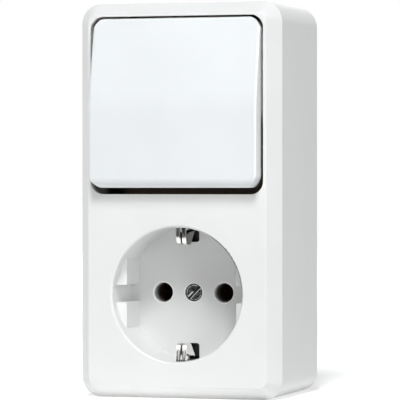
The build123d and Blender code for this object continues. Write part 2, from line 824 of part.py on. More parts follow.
# Earth bracket: strip with a threaded collar and a spring clip at each end
arm = clip_wall_radius - sheet / 2
nose = clip_nose_radius + sheet / 2
slit_front = clip_front_depth - sheet
slit_middle = (arm + clip_nose_radius) / 2 - sheet
slit_reach = arm - clip_nose_radius
with BuildPart() as earth_bracket:
    with BuildSketch(from_wall(earth_strip_seat)):
        with Locations((0, socket_z)):
            Rectangle(earth_strip_width, block_height)
    extrude(amount=sheet)
    with BuildSketch(from_wall(earth_strip_seat)):
        with Locations((0, socket_z)):
            Circle(m3 + sheet)
    extrude(amount=-collar_depth)
    for end in (-1, 1):
        with BuildSketch(Plane.YZ):
            with BuildLine():
                clip_path = FilletPolyline(
                    (-earth_strip_seat - sheet / 2, socket_z + end * block_height / 3),
                    (-earth_strip_seat - sheet / 2, socket_z + end * arm),
                    (clip_front_depth + clip_fold / 2 - depth, socket_z + end * arm),
                    (clip_front_depth - depth, socket_z + end * (arm - clip_fold)),
                    (clip_nose_front - depth, socket_z + end * nose),
                    (clip_nose_rear - depth, socket_z + end * nose),
                    (clip_end_depth - depth, socket_z + end * clip_end_radius),
                    radius=(1.0, 0.35, 0.35, clip_nose_round, clip_nose_round),
                )
                offset(clip_path, amount=sheet / 2, kind=Kind.ARC, side=Side.BOTH)
            make_face()
        extrude(amount=clip_half, both=True)
        # Slit between the two fingers, then the folded wings at their sides
        with BuildSketch(Plane.YZ):
            with Locations(((slit_front + slit_rear_depth) / 2 - depth, socket_z + end * slit_middle)):
                Rectangle(slit_rear_depth - slit_front, slit_reach)
        extrude(amount=finger_slit / 2, both=True, mode=Mode.SUBTRACT)
        for side in (-1, 1):
            with BuildSketch(Plane.YZ.offset(side * (clip_half - clip_wing / 2))):
                with BuildLine():
                    Polyline(
                        (clip_front_depth + wing_lift - depth, socket_z + end * wing_top_front),
                        (clip_nose_front + wing_lift - depth, socket_z + end * (nose + clip_nose_round)),
                        (clip_nose_front + clip_nose_round - depth, socket_z + end * (nose - wing_lift)),
                        (clip_nose_rear - wing_lift - depth, socket_z + end * (nose - wing_lift)),
                        (clip_end_depth - depth, socket_z + end * clip_end_radius),
                        (clip_nose_rear - depth, socket_z + end * wing_top_rear),
                        close=True,
                    )
                make_face()
            extrude(amount=clip_wing / 2, both=True)
    with BuildSketch(from_wall(earth_strip_seat + sheet)):
        with Locations((0, socket_z), (0, socket_z - earth_screw_offset)):
            Circle(m3 + thread_gap)
    extrude(amount=-sheet - collar_depth, mode=Mode.SUBTRACT)
earth_bracket.part.label = "earth_bracket"
export_step(earth_bracket.part, "parts/earth_bracket.step")

earth_seats = seats([(0, socket_z - earth_screw_offset)], earth_strip_seat + sheet)
earth_clamp = clamp_plates(earth_seats)
earth_clamp.label = "earth_clamp"
export_step(earth_clamp, "parts/earth_clamp.step")

earth_screw = slotted_screws(
    [plane.offset(clamp_thickness) for plane in earth_seats],
    m3_head, m3_head_height, m3, terminal_screw_length,
)
earth_screw.label = "earth_screw"
export_step(earth_screw, "parts/earth_screw.step")

# Screw in the middle of the socket that holds the cover to the earth bracket
cover_screw = slotted_screws(
    seats([(0, socket_z)], cover_head_seat),
    cover_head, cover_head_height, m3, cover_screw_length, cover_slot_turn,
)
cover_screw.label = "cover_screw"
export_step(cover_screw, "parts/cover_screw.step")

# Base plate that lies on the wall, with a rim, posts for the inserts and the cable hole
switch_posts = [
    (x, switch_z + z) for x in (-switch_screw_x, switch_screw_x) for z in (-switch_screw_z, switch_screw_z)
]
block_pads = [(-ear_x, socket_z + pad_z), (ear_x, socket_z - pad_z)]
wall_holes = [(x, z) for x in (-wall_hole_x, wall_hole_x) for z in (-wall_hole_z, wall_hole_z)]
with BuildPart() as base_plate:
    with BuildSketch(Plane.XZ):
        RectangleRounded(plate_width, plate_height, plate_radius)
    extrude(amount=plate_thickness)
    with BuildSketch(Plane.XZ):
        RectangleRounded(plate_width, plate_height, plate_radius)
        offset(amount=-rim_thickness, mode=Mode.SUBTRACT)
    extrude(amount=rim_height)
    with BuildSketch(Plane.XZ):
        with Locations(*switch_posts):
            Circle(post_radius)
    extrude(amount=base_rear)
    with BuildSketch(Plane.XZ):
        with Locations(*socket_screws, *block_pads):
            Circle(post_radius)
    extrude(amount=block_rear)
    with BuildSketch(from_wall(pilot_depth)):
        with Locations(*switch_screws, *socket_screws):
            Circle(m3 + thread_gap)
    extrude(amount=base_rear, mode=Mode.SUBTRACT)
    with BuildSketch(Plane.XZ):
        with Locations(*wall_holes):
            Circle(wall_hole_radius)
        with Locations((0, cable_z)):
            Circle(cable_radius)
    extrude(amount=plate_thickness, mode=Mode.SUBTRACT)
base_plate.part.label = "base_plate"
export_step(base_plate.part, "parts/base_plate.step")
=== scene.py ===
"""Finished look of a surface-mounted box with a rocker switch above an earthed socket.

Everything is in metres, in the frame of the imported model: X to the viewer's right, Y into the
wall, Z up, with the origin in the middle of the rear face.
"""

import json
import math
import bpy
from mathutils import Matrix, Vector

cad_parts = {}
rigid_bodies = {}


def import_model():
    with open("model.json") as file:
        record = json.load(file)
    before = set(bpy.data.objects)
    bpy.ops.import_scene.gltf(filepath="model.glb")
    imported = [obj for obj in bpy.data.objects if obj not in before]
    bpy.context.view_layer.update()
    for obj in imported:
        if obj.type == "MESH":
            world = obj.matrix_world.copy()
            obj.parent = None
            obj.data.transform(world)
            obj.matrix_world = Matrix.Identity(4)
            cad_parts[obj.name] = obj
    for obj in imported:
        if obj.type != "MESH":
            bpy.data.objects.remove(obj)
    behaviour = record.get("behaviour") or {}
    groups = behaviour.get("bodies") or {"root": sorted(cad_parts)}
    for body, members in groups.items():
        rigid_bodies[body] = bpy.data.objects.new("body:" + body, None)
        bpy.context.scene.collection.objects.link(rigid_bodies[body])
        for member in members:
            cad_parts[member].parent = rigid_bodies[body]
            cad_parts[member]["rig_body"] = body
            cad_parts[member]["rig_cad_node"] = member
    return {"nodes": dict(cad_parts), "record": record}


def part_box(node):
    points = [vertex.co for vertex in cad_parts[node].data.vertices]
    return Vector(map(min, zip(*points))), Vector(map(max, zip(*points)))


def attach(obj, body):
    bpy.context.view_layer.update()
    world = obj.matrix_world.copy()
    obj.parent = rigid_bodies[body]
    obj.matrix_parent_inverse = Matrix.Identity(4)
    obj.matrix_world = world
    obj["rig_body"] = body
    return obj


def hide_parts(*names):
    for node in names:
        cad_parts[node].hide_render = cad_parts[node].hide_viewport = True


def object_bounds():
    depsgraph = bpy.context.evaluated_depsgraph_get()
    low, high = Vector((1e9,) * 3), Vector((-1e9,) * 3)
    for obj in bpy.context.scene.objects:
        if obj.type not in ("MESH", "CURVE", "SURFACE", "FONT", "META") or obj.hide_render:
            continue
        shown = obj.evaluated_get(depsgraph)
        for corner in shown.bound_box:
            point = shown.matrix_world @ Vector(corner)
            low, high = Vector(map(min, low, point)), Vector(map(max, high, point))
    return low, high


bl_info = {
    "name": "Switch and Socket Box",
    "version": (1, 0, 0),
    "blender": (4, 5, 0),
    "location": "3D View > Sidebar > Switch Box",
    "description": "Finishes a rocker switch and socket box and lights it in a white studio",
    "category": "Object",
}

import bpy
from bpy.props import FloatProperty, FloatVectorProperty, PointerProperty
from bpy.types import Operator, Panel, PropertyGroup
from mathutils import Matrix, Vector

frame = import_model()
cad_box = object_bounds()

MM = 0.001

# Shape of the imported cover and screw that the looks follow
CUP_RADIUS = 19.9 * MM
RING_RADIUS = 21.8 * MM
RING_FRONT = 2.6 * MM
WALL_INSIDE = 2.2 * MM
FOUND_WITHIN = 0.02 * MM
SLOT_HALF = 0.5 * MM
HEAD_DEPTH = 0.5 * MM

# Edges sharper than this stay sharp, and flat faces outweigh the rounds beside them
SMOOTH_ANGLE = math.radians(28.5)
FLAT_WEIGHT = 80
WELD = 0.001 * MM

# Height of the relief that each bump stands for, and the plastics' index of refraction
FINE_RELIEF = 0.02 * MM
GRAIN_RELIEF = 0.06 * MM
PLASTIC_IOR = 1.5

# Painted shade in the gap round the rocker: how it fades outwards and with depth
GAP_SHADE_FADE = (0.7 * MM, 0.9 * MM)
GAP_SHADE_DEPTH = (0.3 * MM, 1.3 * MM)
GAP_SHADE_LEFT_START = 2.4 * MM
GAP_SHADE_BROWN = (0.16, 0.112, 0.07)
GAP_SHADE_PALE = (0.64, 0.57, 0.48)

# Painted light and shade on the white mouldings: edge highlight, rim shade line, highlight rings
# round holes, shade inside the holes and how deep it fades in
EDGE_HIGHLIGHT_WHITE = (0.86, 0.86, 0.85)
RIM_SHADE_GREY = (0.20, 0.20, 0.20)
RING_HIGHLIGHT_WHITE = (0.97, 0.97, 0.97)
HOLE_SHADE_DARK = (0.03, 0.028, 0.026)
PIN_HOLE_FADE = 5.2 * MM
SCREW_HOLE_FADE = 0.4 * MM

# Light: tint of every lamp, and the place and reach of the glowing patch on the floor beside the box,
# which lights the box though it is no lamp
LAMP_TINT = (0.980, 1.000, 1.010)
GLOW_PATCH_PLACE = (-0.05, -0.05)
GLOW_PATCH_REACH = (0.035, 0.12)
WHITE = (1.0, 1.0, 1.0, 1.0)
FLOOR_WHITE = (0.90, 0.90, 0.89, 1.0)
FLOOR_SIZE = 3.0
FLOOR_LIFT_REACH = (0.25, 1.2)

mounts = {mount["name"]: mount for mount in frame["record"]["mounts"]}
face_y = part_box("housing_cover")[0].y
rocker_low, rocker_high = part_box("rocker")
rocker_middle = (rocker_low.z + rocker_high.z) / 2
socket_z = mounts["pin_hole_left"]["pos_m"][2]
screw_low, screw_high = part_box("cover_screw")
head_radius = (screw_high.x - screw_low.x) / 2
pin_x = mounts["pin_hole_right"]["pos_m"][0]
pin_radius = mounts["pin_hole_right"]["dims"]["r_mm"] * MM
floor_y = screw_low.y - HEAD_DEPTH


class LookSettings(PropertyGroup):
    """Colours and surface sizes of the moulded plastic."""

    cover_colour: FloatVectorProperty(
        name="Cover colour", description="Colour of the moulded cover", subtype="COLOR",
        size=3, min=0.0, max=1.0, default=(0.720, 0.720, 0.716),
    )
    rocker_colour: FloatVectorProperty(
        name="Rocker colour", description="Colour of the rocker", subtype="COLOR",
        size=3, min=0.0, max=1.0, default=(0.712, 0.726, 0.735),
    )
    plate_colour: FloatVectorProperty(
        name="Plate colour", description="Colour of the base plate", subtype="COLOR",
        size=3, min=0.0, max=1.0, default=(0.66, 0.66, 0.63),
    )
    gloss: FloatProperty(
        name="Gloss roughness", description="Roughness of the polished plastic",
        min=0.0, max=1.0, default=0.42,
    )
    ripple: FloatProperty(
        name="Ripple", description="Width of the faint waves in the moulded skin",
        unit="LENGTH", min=0.0001, default=0.0016,
    )


class CameraSettings(PropertyGroup):
    """Where the photograph was taken from."""

    azimuth: FloatProperty(
        name="Azimuth", description="Turn of the viewpoint to the right of the box's front",
        subtype="ANGLE", unit="ROTATION", default=math.radians(17.3525),
    )
    elevation: FloatProperty(
        name="Elevation", description="Height of the viewpoint above the middle of the box",
        subtype="ANGLE", unit="ROTATION", default=math.radians(0.5118),
    )
    distance: FloatProperty(
        name="Distance", description="From the middle of the front face to the camera",
        unit="LENGTH", default=0.8733,
    )
    heading: FloatProperty(
        name="Heading", description="Turn of the camera's own axis",
        subtype="ANGLE", unit="ROTATION", default=math.radians(16.8911),
    )
    pitch: FloatProperty(
        name="Pitch", description="Downward tilt of the camera's own axis",
        subtype="ANGLE", unit="ROTATION", default=math.radians(0.4974),
    )
    roll: FloatProperty(
        name="Roll", description="Turn of the camera about its own axis",
        subtype="ANGLE", unit="ROTATION", default=math.radians(-0.052),
    )
    lens: FloatProperty(
        name="Lens", description="Focal length in millimetres on a 36 mm sensor",
        min=1.0, default=266.85,
    )


class LightSettings(PropertyGroup):
    """Powers of the studio's lamps, in watts, and of the surroundings."""

    key: FloatProperty(name="Key", description="Main lamp, high in front", default=4.3)
    upper: FloatProperty(name="Upper", description="Second lamp, just above the key", default=4.8)
    left: FloatProperty(name="Left", description="Low panel at the left", default=4.6)
    right: FloatProperty(name="Right", description="Low panel at the right", default=5.6)
    back: FloatProperty(name="Back", description="Panel behind the box", default=2.0)
    world: FloatProperty(
        name="Surroundings", description="Strength of the white room", default=0.02
    )
    floor: FloatProperty(
        name="Floor", description="How far the floor is lifted to white", default=0.5
    )
    # Floor glow: emission from a floor patch beside the box, no lamp, lighting the box from below
    glow: FloatProperty(
        name="Floor glow", description="Light that the lit table sends up", default=0.30
    )


class Value:
    """A shader socket that takes part in Python arithmetic."""

    def __init__(self, graph, socket):
        self.graph = graph
        self.socket = socket

    def _with(self, operation, other, swap=False):
        pair = (other, self) if swap else (self, other)
        return self.graph.node("ShaderNodeMath", {"operation": operation}, {0: pair[0], 1: pair[1]})

    def __add__(self, other):
        return self._with("ADD", other)

    def __sub__(self, other):
        return self._with("SUBTRACT", other)

    def __rsub__(self, other):
        return self._with("SUBTRACT", other, swap=True)

    def __mul__(self, other):
        return self._with("MULTIPLY", other)

    def __pow__(self, other):
        return self._with("POWER", other)

    def __abs__(self):
        return self.graph.node("ShaderNodeMath", {"operation": "ABSOLUTE"}, {0: self})

    def sine(self):
        return self.graph.node("ShaderNodeMath", {"operation": "SINE"}, {0: self})

    __radd__ = __add__
    __rmul__ = __mul__


class Graph:
    """Node graph of a material or world, built from expressions."""

    def __init__(self, owner):
        self.owner = owner
        owner.use_nodes = True
        self.tree = owner.node_tree
        self.tree.nodes.clear()

    def node(self, kind, settings=None, sockets=None, output=0):
        """Adds a node: its settings are set first, then its sockets get values or links."""
        made = self.tree.nodes.new(kind)
        for name, value in (settings or {}).items():
            setattr(made, name, value)
        for key, value in (sockets or {}).items():
            if isinstance(value, Value):
                self.tree.links.new(value.socket, made.inputs[key])
            else:
                made.inputs[key].default_value = value
        return Value(self, made.outputs[output]) if len(made.outputs) else None

    def place(self):
        """Object coordinates."""
        return self.node("ShaderNodeTexCoord", output="Object")

    def axes(self, vector):
        """The three parts of a vector."""
        made = self.node("ShaderNodeSeparateXYZ", sockets={0: vector}).socket.node
        return [Value(self, made.outputs[name]) for name in ("X", "Y", "Z")]

    def noise(self, place, size, detail=2.0, roughness=0.5):
        """Noise from 0 to 1 whose lumps are about one size across, in metres."""
        return self.node(
            "ShaderNodeTexNoise", {},
            {"Vector": place, "Scale": 1.0 / size, "Detail": detail, "Roughness": roughness},
        )

    def ramp(self, value, low, high, start=0.0, end=1.0):
        """Smooth step: start where the value is low, end where it is high."""
        return self.node(
            "ShaderNodeMapRange", {"interpolation_type": "SMOOTHSTEP"},
            {"Value": value, "From Min": low, "From Max": high, "To Min": start, "To Max": end},
        )

    def mix(self, factor, first, second):
        """Mixes two colours."""
        made = self.node("ShaderNodeMix", {"data_type": "RGBA"}, output=2)
        inputs = made.socket.node.inputs
        for index, value in ((0, factor), (6, first), (7, second)):
            if isinstance(value, Value):
                self.tree.links.new(value.socket, inputs[index])
            else:
                inputs[index].default_value = value if index == 0 else (*value, 1.0)
        return made

    def looking(self):
        """1 for rays that look at the surface: straight, in a reflection or through glass."""
        paths = self.node("ShaderNodeLightPath").socket.node.outputs
        straight, mirrored, through = (
            Value(self, paths[name])
            for name in ("Is Camera Ray", "Is Glossy Ray", "Is Transmission Ray")
        )
        return straight + mirrored + through

    def stretched(self, place, scale):
        """The place with each axis scaled, which draws noise out where the scale is small."""
        return self.node("ShaderNodeMapping", {}, {"Vector": place, "Scale": scale})

    def bump(self, height, strength, distance):
        return self.node(
            "ShaderNodeBump", {}, {"Height": height, "Strength": strength, "Distance": distance}
        )

    def surface(self, **sockets):
        """Ends the graph in one Principled shader whose sockets are named in plain words."""
        names = {name.replace("_", " ").title(): value for name, value in sockets.items()}
        shader = self.node("ShaderNodeBsdfPrincipled")
        inputs = shader.socket.node.inputs
        for name, value in names.items():
            name = {"Ior": "IOR"}.get(name, name)
            if isinstance(value, Value):
                self.tree.links.new(value.socket, inputs[name])
            elif name == "Base Color":
                inputs[name].default_value = (*value, 1.0)
            else:
                inputs[name].default_value = value
        self.node("ShaderNodeOutputMaterial", {}, {"Surface": shader})
        return self.owner


def shade(colour, amount):
    """A colour made darker or lighter by a factor."""
    return tuple(min(1.0, channel * amount) for channel in colour)


def gap_shade(graph, place, tone):
    """Painted shade in the gap round the rocker, brown and paler at the top, from just below the
    front face inwards, starting deeper in at the left.
    """
    x, y, z = graph.axes(place)
    half_height = (rocker_high.z - rocker_low.z) / 2
    full, gone = GAP_SHADE_FADE
    wide = graph.ramp(abs(x), rocker_high.x + full, rocker_high.x + gone, 1.0, 0.0)
    tall = graph.ramp(abs(z - rocker_middle), half_height + full, half_height + gone, 1.0, 0.0)
    at_left = graph.ramp(x, rocker_low.x + 0.2 * MM, rocker_low.x + 0.6 * MM, 1.0, 0.0)
    at_top = graph.ramp(z, rocker_high.z - 0.6 * MM, rocker_high.z - 0.2 * MM)
    # painted shade: the gap's walls darken with depth below the front face
    deep = graph.ramp(y - face_y - at_left * GAP_SHADE_LEFT_START, *GAP_SHADE_DEPTH)
    return graph.mix(wide * tall * deep, tone, graph.mix(at_top, GAP_SHADE_BROWN, GAP_SHADE_PALE))


def rocker_painted_light(graph, place, tone):
    """Tone of the rocker: painted highlight on its right and lowest edges, and the gap's painted
    shade where it stays in the gap, on its lower part.
    """
    x, _, z = graph.axes(place)
    # painted highlight: the right side and the lowest edge are made paler
    side = graph.ramp(x, rocker_high.x - 0.5 * MM, rocker_high.x - 0.2 * MM)
    lowest = graph.ramp(z, rocker_low.z + 0.12 * MM, rocker_low.z + 0.45 * MM, 1.0, 0.0)
    edge_lit = graph.mix(side + lowest * (1 - side), tone, EDGE_HIGHLIGHT_WHITE)
    # painted shade of the gap, only on the rocker's lower part
    lower = graph.ramp(z, rocker_middle - 7.0 * MM, rocker_middle - 1.0 * MM, 1.0, 0.0)
    return graph.mix(lower, edge_lit, gap_shade(graph, place, edge_lit))


def cup_painted_light(graph, place, tone):
    """Tone of the cup: a painted shade line under its upper right rim, painted highlight rings round
    holes darkened by painted shade, and the gap's painted shade.
    """
    x, y, z = graph.axes(place)
    level = z - socket_z
    below_face = y - face_y
    below_floor = y - floor_y
    mouth = (x * x + level * level) ** 0.5
    # painted shade: a grey line just inside the cup's upper right rim
    started = graph.ramp(below_face, 0.02 * MM, 0.14 * MM)
    ended = graph.ramp(below_face, 0.9 * MM, 1.2 * MM, 1.0, 0.0)
    corner = graph.ramp(x, 5.0 * MM, 13.0 * MM) * graph.ramp(level, -5.0 * MM, 1.0 * MM)
    on_rim = graph.ramp(mouth, CUP_RADIUS + 0.6 * MM, CUP_RADIUS + 0.7 * MM, 1.0, 0.0)
    tone = graph.mix(started * ended * corner * on_rim, tone, RIM_SHADE_GREY)
    for middle, bore, fade in (
        (-pin_x, pin_radius, PIN_HOLE_FADE),
        (pin_x, pin_radius, PIN_HOLE_FADE),
        (0.0, head_radius, SCREW_HOLE_FADE),
    ):
        beside = x - middle
        radius = (beside * beside + level * level) ** 0.5
        # painted highlight: a bright ring round each hole
        ring = graph.ramp(abs(radius - bore - 0.24 * MM), 0.08 * MM, 0.3 * MM, 1.0, 0.0)
        shallow = graph.ramp(below_floor, 0.1 * MM, 0.4 * MM, 1.0, 0.0)
        tone = graph.mix(ring * shallow, tone, RING_HIGHLIGHT_WHITE)
        # painted shade: darker with depth inside each hole
        inside = graph.ramp(radius, bore + 0.2 * MM, bore + 0.4 * MM, 1.0, 0.0)
        tone = graph.mix(inside * graph.ramp(below_floor, 0.1 * MM, fade), tone, HOLE_SHADE_DARK)
    return gap_shade(graph, place, tone)


def polished_plastic(name, colour, gloss, ripple, painted_light=None):
    """White moulded plastic with a polished skin: faint waves and dull patches, and any painted light
    and shade passed in.
    """
    graph = Graph(bpy.data.materials.new(name))
    place = graph.place()
    waves = graph.noise(place, ripple, detail=1.0)
    patches = graph.noise(place, 18.0 * MM)
    tone = graph.mix(graph.ramp(patches, 0.3, 0.7), shade(colour, 0.985), shade(colour, 1.012))
    # painted light and shade of the cup or the rocker
    if painted_light:
        tone = painted_light(graph, place, tone)
    dull = gloss + (patches - 0.5) * 0.08
    skin = graph.bump(waves, 0.05, FINE_RELIEF)
    return graph.surface(base_color=tone, roughness=dull, normal=skin, ior=PLASTIC_IOR)


def matt_plastic(name, colour, roughness):
    """Textured moulding with a fine even grain."""
    graph = Graph(bpy.data.materials.new(name))
    place = graph.place()
    grain = graph.noise(place, 0.45 * MM, detail=3.0, roughness=0.6)
    patches = graph.noise(place, 12.0 * MM)
    tone = graph.mix(patches, shade(colour, 0.94), shade(colour, 1.04))
    rough = roughness + (grain - 0.5) * 0.15
    skin = graph.bump(grain, 0.25, GRAIN_RELIEF)
    return graph.surface(base_color=tone, roughness=rough, normal=skin, ior=PLASTIC_IOR)


def plated_metal(name, colour, roughness):
    """Rolled and plated strip: fine streaks along its length and small dull clouds."""
    graph = Graph(bpy.data.materials.new(name))
    place = graph.place()
    streaks = graph.noise(graph.stretched(place, (1.0, 0.12, 0.12)), 0.18 * MM, detail=3.0)
    clouds = graph.noise(place, 3.5 * MM)
    tone = graph.mix(clouds, shade(colour, 0.9), shade(colour, 1.06))
    rough = roughness + (streaks - 0.5) * 0.16 + (clouds - 0.5) * 0.1
    return graph.surface(
        base_color=tone, metallic=1.0, roughness=rough,
        normal=graph.bump(streaks, 0.12, FINE_RELIEF),
    )


def clip_nickel(name):
    """Nickel of the earth clips with streaks: painted shade and dark reflection above, painted
    reflection below, a painted highlight on the noses where plugs also rub, painted shade behind the
    cup floor.
    """
    graph = Graph(bpy.data.materials.new(name))
    place = graph.place()
    x, y, z = graph.axes(place)
    reach = abs(z - socket_z)
    streaks = graph.noise(graph.stretched(place, (1.0, 0.1, 0.06)), 0.32 * MM, roughness=0.6)
    scratches = graph.noise(graph.stretched(place, (1.0, 0.12, 0.12)), 0.1 * MM)
    # painted shade and dark reflection above the socket's middle, painted reflection below it
    above = graph.ramp(z, socket_z - 2.0 * MM, socket_z + 2.0 * MM)
    streak = graph.ramp(streaks, 0.42, 0.66)
    dull = graph.mix(streak, (0.022, 0.022, 0.023), (0.17, 0.168, 0.165))
    lit_below = graph.mix(streak, (0.12, 0.12, 0.12), (0.72, 0.715, 0.70))
    lit_and_shaded = graph.mix(above, lit_below, dull)
    # painted highlight on the noses, where plugs also rub
    nose = graph.ramp(reach + (streaks - 0.5) * (1.6 * MM), 16.2 * MM, 17.1 * MM, 1.0, 0.0)
    highlighted = graph.mix(nose, lit_and_shaded, (0.90, 0.89, 0.87))
    # wing faces: painted light below, painted shade above
    wing = graph.ramp(abs(x), 1.42 * MM, 1.51 * MM)
    wing_light_and_shade = graph.mix(wing, highlighted, graph.mix(above, (0.90, 0.90, 0.89), (0.31, 0.31, 0.305)))
    # painted shade where the clips reach in behind the cup floor
    inside = graph.ramp(y, floor_y + 0.2 * MM, floor_y + 1.2 * MM)
    tone = graph.mix(inside, wing_light_and_shade, (0.08, 0.078, 0.075))
    rough = 0.20 + scratches * 0.16 + inside * 0.2 + wing * 0.25
    return graph.surface(
        base_color=tone, metallic=1.0, roughness=rough,
        normal=graph.bump(scratches, 0.15, FINE_RELIEF),
    )


def sleeve_bronze(name):
    """Dark bronze of the pin contacts, with a painted highlight along the edges of their slits."""
    graph = Graph(bpy.data.materials.new(name))
    place = graph.place()
    x = graph.axes(place)[0]
    stains = graph.noise(place, 1.2 * MM, detail=3.0)
    tone = graph.mix(stains, (0.06, 0.036, 0.024), (0.16, 0.105, 0.08))
    # painted highlight along the edges of the slits
    slit_highlight = graph.ramp(abs(abs(abs(x) - pin_x) - 0.55 * MM), 0.08 * MM, 0.2 * MM, 1.0, 0.0)
    highlighted = graph.mix(slit_highlight * graph.ramp(stains, 0.45, 0.55), tone, (0.62, 0.52, 0.42))
    return graph.surface(
        base_color=highlighted, metallic=1.0, roughness=0.36 + stains * 0.2,
        normal=graph.bump(stains, 0.15, FINE_RELIEF),
    )


def turned_steel(name):
    """Dark passivated screw head: turned rings, a dirty slot, and painted highlights on a broken ring
    round the head and on the slot's edges toward the lower left and the right.
    """
    graph = Graph(bpy.data.materials.new(name))
    place = graph.place()
    x, _, z = graph.axes(place)
    level = z - socket_z
    radius = (x * x + level * level) ** 0.5
    beside = (x - level) * math.sqrt(0.5)
    across = abs(beside)
    rings = (radius * (2.0 * math.pi / (0.22 * MM))).sine() * 0.5 + 0.5
    stains = graph.noise(place, 0.9 * MM, detail=3.0)
    face = graph.mix(graph.ramp(stains, 0.35, 0.65), (0.012, 0.012, 0.013), (0.065, 0.066, 0.068))
    # painted highlight on the slot's edges, only toward the lower left and the right
    edge = graph.ramp(abs(across - SLOT_HALF), 0.04 * MM, 0.15 * MM, 1.0, 0.0)
    lower = graph.ramp(x + level, -0.4 * MM, 0.0, 1.0, 0.0)
    right = graph.ramp(beside, -0.1 * MM, 0.1 * MM)
    glint_patches = graph.ramp(graph.noise(place, 0.6 * MM, detail=1.0), 0.38, 0.58)
    # painted highlight: a broken bright ring round the head
    rim = graph.ramp(abs(radius - head_radius + 0.28 * MM), 0.06 * MM, 0.18 * MM, 1.0, 0.0)
    turned = graph.mix(rim * (glint_patches * 0.7 + 0.15), face, (0.62, 0.62, 0.60))
    turned = graph.mix(edge * (lower + right * (1 - lower)), turned, (0.82, 0.82, 0.80))
    slot = graph.ramp(across, SLOT_HALF - 0.12 * MM, SLOT_HALF - 0.05 * MM, 1.0, 0.0)
    tone = graph.mix(slot, turned, (0.035, 0.035, 0.036))
    rough = 0.24 + stains * 0.2 + slot * 0.2
    return graph.surface(
        base_color=tone, metallic=1.0, roughness=rough,
        normal=graph.bump(rings, 0.2, FINE_RELIEF),
    )


def only_material(piece, material):
    """Gives a piece one material and no other."""
    piece.data.materials.clear()
    piece.data.materials.append(material)


def only_selected(piece):
    """Leaves one object selected and active."""
    bpy.ops.object.select_all(action="DESELECT")
    piece.select_set(True)
    bpy.context.view_layer.objects.active = piece


def smooth_copy(node, name):
    """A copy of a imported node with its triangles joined, flat faces kept flat and rounds smooth."""
    source = frame["nodes"][node]
    piece = source.copy()
    piece.data = source.data.copy()
    piece.name = name
    piece.data.name = name
    bpy.context.scene.collection.objects.link(piece)
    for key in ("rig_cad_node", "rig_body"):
        del piece[key]
    piece.parent = None
    only_selected(piece)
    bpy.ops.object.mode_set(mode="EDIT")
    bpy.ops.mesh.select_all(action="SELECT")
    bpy.ops.mesh.remove_doubles(threshold=WELD)
    bpy.ops.object.mode_set(mode="OBJECT")
    bpy.ops.mesh.customdata_custom_splitnormals_clear()
    bpy.ops.object.shade_smooth_by_angle(angle=SMOOTH_ANGLE)
    weighted = piece.modifiers.new("Flat faces stay flat", "WEIGHTED_NORMAL")
    weighted.keep_sharp = True
    weighted.weight = FLAT_WEIGHT
    bpy.ops.object.modifier_apply(modifier=weighted.name)
    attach(piece, source["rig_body"])
    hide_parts(node)
    return piece


def close_ring(cover):
    """Carries the cup's ring forward over the thin slot between it and the front wall."""
    reach = RING_RADIUS + 0.05 * MM
    ring = [
        vertex.index for vertex in cover.data.vertices
        if abs(vertex.co.y - face_y - RING_FRONT) < FOUND_WITHIN
        and math.hypot(vertex.co.x, vertex.co.z - socket_z) < reach
    ]
    if not ring:
        raise RuntimeError("the cup's ring was not found behind the front wall")
    only_selected(cover)
    bpy.ops.object.mode_set(mode="EDIT")
    bpy.ops.mesh.select_mode(type="VERT")
    bpy.ops.mesh.select_all(action="DESELECT")
    bpy.ops.object.mode_set(mode="OBJECT")
    for index in ring:
        cover.data.vertices[index].select = True
    bpy.ops.object.mode_set(mode="EDIT")
    bpy.ops.transform.translate(value=(0.0, WALL_INSIDE - RING_FRONT, 0.0))
    bpy.ops.object.mode_set(mode="OBJECT")


class SWITCHBOX_OT_cover(Operator):
    """Cover moulding with the socket cup"""

    bl_idname = "switchbox.cover"
    bl_label = "Cover"

    def execute(self, context):
        look = context.scene.switchbox_look
        cover = smooth_copy("housing_cover", "cover")
        close_ring(cover)
        skin = polished_plastic(
            "cover plastic", look.cover_colour, look.gloss, look.ripple, cup_painted_light
        )
        only_material(cover, skin)
        return {"FINISHED"}


class SWITCHBOX_OT_rocker(Operator):
    """Rocker of the switch"""

    bl_idname = "switchbox.rocker"
    bl_label = "Rocker"

    def execute(self, context):
        look = context.scene.switchbox_look
        rocker = smooth_copy("rocker", "rocker_cap")
        skin = polished_plastic(
            "rocker plastic", look.rocker_colour, look.gloss, look.ripple, rocker_painted_light
        )
        only_material(rocker, skin)
        return {"FINISHED"}


class SWITCHBOX_OT_metal(Operator):
    """Earth clips, screws, contacts and springs"""

    bl_idname = "switchbox.metal"
    bl_label = "Metal pieces"

    def execute(self, context):
        clips = smooth_copy("earth_bracket", "earth_clips")
        only_material(clips, clip_nickel("nickel plate"))
        screw = smooth_copy("cover_screw", "centre_screw")
        only_material(screw, turned_steel("passivated steel"))
        for material, nodes in (
            (plated_metal("zinc plate", (0.62, 0.63, 0.64), 0.34), (
                "switch_clamps", "switch_terminal_screws", "switch_fixing_screws",
                "socket_clamps", "socket_terminal_screws", "socket_fixing_screws", "earth_clamp",
                "earth_screw",
            )),
            (plated_metal("brass strip", (0.62, 0.43, 0.18), 0.32), (
                "contact_lever", "common_contact", "upper_contact", "lower_contact",
            )),
            (sleeve_bronze("burnished bronze"), ("line_contact", "neutral_contact")),
            (plated_metal("contact silver", (0.80, 0.79, 0.76), 0.22), (
                "lever_buttons", "fixed_buttons",
            )),
            (plated_metal("spring steel", (0.42, 0.42, 0.43), 0.28), ("plunger_spring",)),
        ):
            for node in nodes:
                only_material(frame["nodes"][node], material)
        return {"FINISHED"}


